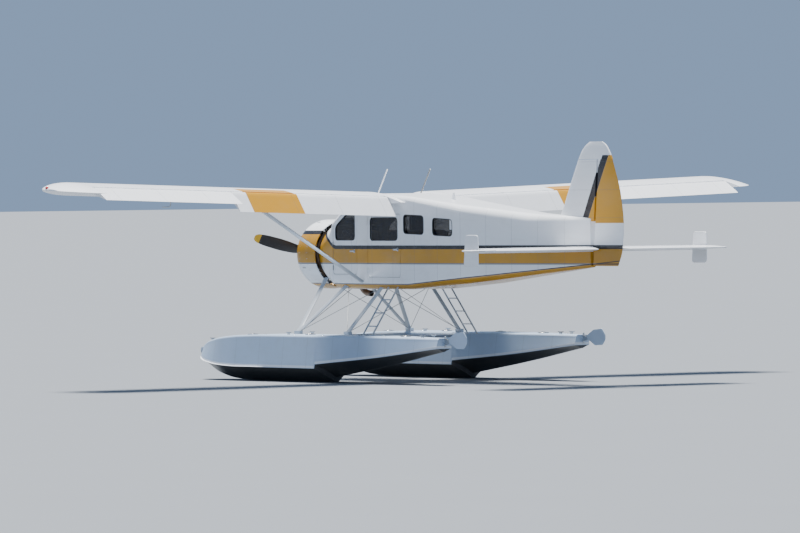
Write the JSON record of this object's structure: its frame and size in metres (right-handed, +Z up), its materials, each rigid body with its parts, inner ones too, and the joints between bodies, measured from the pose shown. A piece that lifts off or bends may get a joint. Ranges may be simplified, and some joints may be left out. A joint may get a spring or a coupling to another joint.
{
  "type": "high-wing floatplane with a radial engine",
  "caption": "Strut-braced high-wing floatplane with a radial engine, twin floats, opening doors and working control surfaces.",
  "frame": {"origin": "on the ground under the middle of the whole aircraft's box, level with the floats' keels", "axes": "+X towards the nose, +Y to port, +Z up"},
  "size_m": [10.32, 14.63, 4.1],
  "materials": {
    "white_paint": "gloss white paint on sheet metal, with a gold stripe edged in black",
    "gold_paint": "gloss gold-orange paint on sheet metal",
    "float_paint": "satin silver-grey paint on sheet metal",
    "bare_metal": "bare metal",
    "engine_metal": "dull grey cast cylinders and crankcase",
    "dark_metal": "matt black paint",
    "window_glass": "clear, dark inside",
    "cabin_trim": "grey paint",
    "seat_leather": "brown hide"
  },
  "bodies": {
    "airframe": {"nose_fairing": "white_paint", "cabin_belly": "white_paint", "cabin_side_left": "white_paint", "cabin_side_right": "white_paint", "cabin_roof": "white_paint", "windscreen_frame": "white_paint", "tail_cone": "white_paint", "engine_cowl": "white_paint", "wing_left": "white_paint", "wing_right": "white_paint", "wing_strut_left": "white_paint", "wing_strut_right": "white_paint", "fin": "white_paint", "stabilizer_left": "white_paint", "stabilizer_right": "white_paint", "float_left": "float_paint", "float_right": "float_paint", "float_front_struts_left": "float_paint", "float_front_struts_right": "float_paint", "float_rear_strut_left": "float_paint", "float_rear_strut_right": "float_paint", "spreader_bar_front": "float_paint", "spreader_bar_rear": "float_paint", "boarding_ladder_left": "bare_metal", "boarding_ladder_right": "bare_metal", "exhaust_pipe": "bare_metal", "engine": "engine_metal", "instrument_panel": "dark_metal", "control_column": "dark_metal", "windscreen": "window_glass", "side_glass_left": "window_glass", "side_glass_right": "window_glass", "cabin_floor": "cabin_trim", "rear_bulkhead": "cabin_trim", "front_seat_left": "seat_leather", "front_seat_right": "seat_leather", "rear_bench": "seat_leather"},
    "propeller": {"propeller": "dark_metal"},
    "crew_door_left": {"crew_door_left": "white_paint", "crew_door_glass_left": "window_glass"},
    "crew_door_right": {"crew_door_right": "white_paint", "crew_door_glass_right": "window_glass"},
    "cabin_door_left": {"cabin_door_left": "white_paint", "cabin_door_glass_left": "window_glass"},
    "cabin_door_right": {"cabin_door_right": "white_paint", "cabin_door_glass_right": "window_glass"},
    "flap_left": {"flap_left": "white_paint"},
    "flap_right": {"flap_right": "white_paint"},
    "aileron_left": {"aileron_left": "white_paint"},
    "aileron_right": {"aileron_right": "white_paint"},
    "elevators": {"elevator_left": "white_paint", "elevator_right": "white_paint"},
    "rudder": {"rudder": "gold_paint"},
    "water_rudder_post_left": {"water_rudder_post_left": "bare_metal"},
    "water_rudder_post_right": {"water_rudder_post_right": "bare_metal"},
    "water_rudder_blade_left": {"water_rudder_blade_left": "float_paint"},
    "water_rudder_blade_right": {"water_rudder_blade_right": "float_paint"}
  },
  "joints": [
    {"name": "propeller_turn", "type": "hinge", "parent": "airframe", "child": "propeller", "pos_m": [3.91, 0, 2.2], "axis": [1, 0, 0], "continuous": true},
    {"name": "crew_door_left_swing", "type": "hinge", "parent": "airframe", "child": "crew_door_left", "pos_m": [2.4535, 0.58796, 2.2], "axis": [0, 0, -1], "range_deg": [0, 80]},
    {"name": "crew_door_right_swing", "type": "hinge", "parent": "airframe", "child": "crew_door_right", "pos_m": [2.4535, -0.58796, 2.2], "axis": [0, 0, 1], "range_deg": [0, 80]},
    {"name": "cabin_door_left_swing", "type": "hinge", "parent": "airframe", "child": "cabin_door_left", "pos_m": [1.3635, 0.62274, 2.2], "axis": [0, 0, -1], "range_deg": [0, 80]},
    {"name": "cabin_door_right_swing", "type": "hinge", "parent": "airframe", "child": "cabin_door_right", "pos_m": [1.3635, -0.62274, 2.2], "axis": [0, 0, 1], "range_deg": [0, 80]},
    {"name": "flap_left_droop", "type": "hinge", "parent": "airframe", "child": "flap_left", "pos_m": [0.6346, 0.72, 3.14621], "axis": [0, -0.9994, -0.0349], "range_deg": [-38, 20]},
    {"name": "flap_right_droop", "type": "hinge", "parent": "airframe", "child": "flap_right", "pos_m": [0.6346, -0.72, 3.14621], "axis": [0, -0.9994, 0.0349], "range_deg": [-38, 20]},
    {"name": "aileron_left_roll", "type": "hinge", "parent": "airframe", "child": "aileron_left", "pos_m": [0.6346, 4, 3.26075], "axis": [0, -0.9994, -0.0349], "range_deg": [-20, 20]},
    {"name": "aileron_right_roll", "type": "hinge", "parent": "airframe", "child": "aileron_right", "pos_m": [0.6346, -4, 3.26075], "axis": [0, -0.9994, 0.0349], "range_deg": [-20, 20]},
    {"name": "elevator_pitch", "type": "hinge", "parent": "airframe", "child": "elevators", "pos_m": [-4.38, 0, 2.295], "axis": [0, -1, 0], "range_deg": [-28, 19]},
    {"name": "rudder_yaw", "type": "hinge", "parent": "airframe", "child": "rudder", "pos_m": [-4.364, 0, 2], "axis": [-0.0952, 0, 0.9955], "range_deg": [-25, 25]},
    {"name": "water_rudder_left_steer", "type": "hinge", "parent": "airframe", "child": "water_rudder_post_left", "pos_m": [-2.085, 1.47, 0.74], "axis": [0, 0, 1], "range_deg": [-25, 25]},
    {"name": "water_rudder_right_steer", "type": "hinge", "parent": "airframe", "child": "water_rudder_post_right", "pos_m": [-2.085, -1.47, 0.74], "axis": [0, 0, 1], "range_deg": [-25, 25]},
    {"name": "water_rudder_left_lower", "type": "hinge", "parent": "water_rudder_post_left", "child": "water_rudder_blade_left", "pos_m": [-2.17, 1.47, 0.74], "axis": [0, -1, 0], "range_deg": [0, 90]},
    {"name": "water_rudder_right_lower", "type": "hinge", "parent": "water_rudder_post_right", "child": "water_rudder_blade_right", "pos_m": [-2.17, -1.47, 0.74], "axis": [0, -1, 0], "range_deg": [0, 90]}
  ],
  "couplings": [
    {"joint": "flap_right_droop", "follows": "flap_left_droop", "ratio": 1},
    {"joint": "aileron_right_roll", "follows": "aileron_left_roll", "ratio": -1},
    {"joint": "water_rudder_left_steer", "follows": "rudder_yaw", "ratio": 1},
    {"joint": "water_rudder_right_steer", "follows": "rudder_yaw", "ratio": 1},
    {"joint": "water_rudder_right_lower", "follows": "water_rudder_left_lower", "ratio": 1}
  ]
}
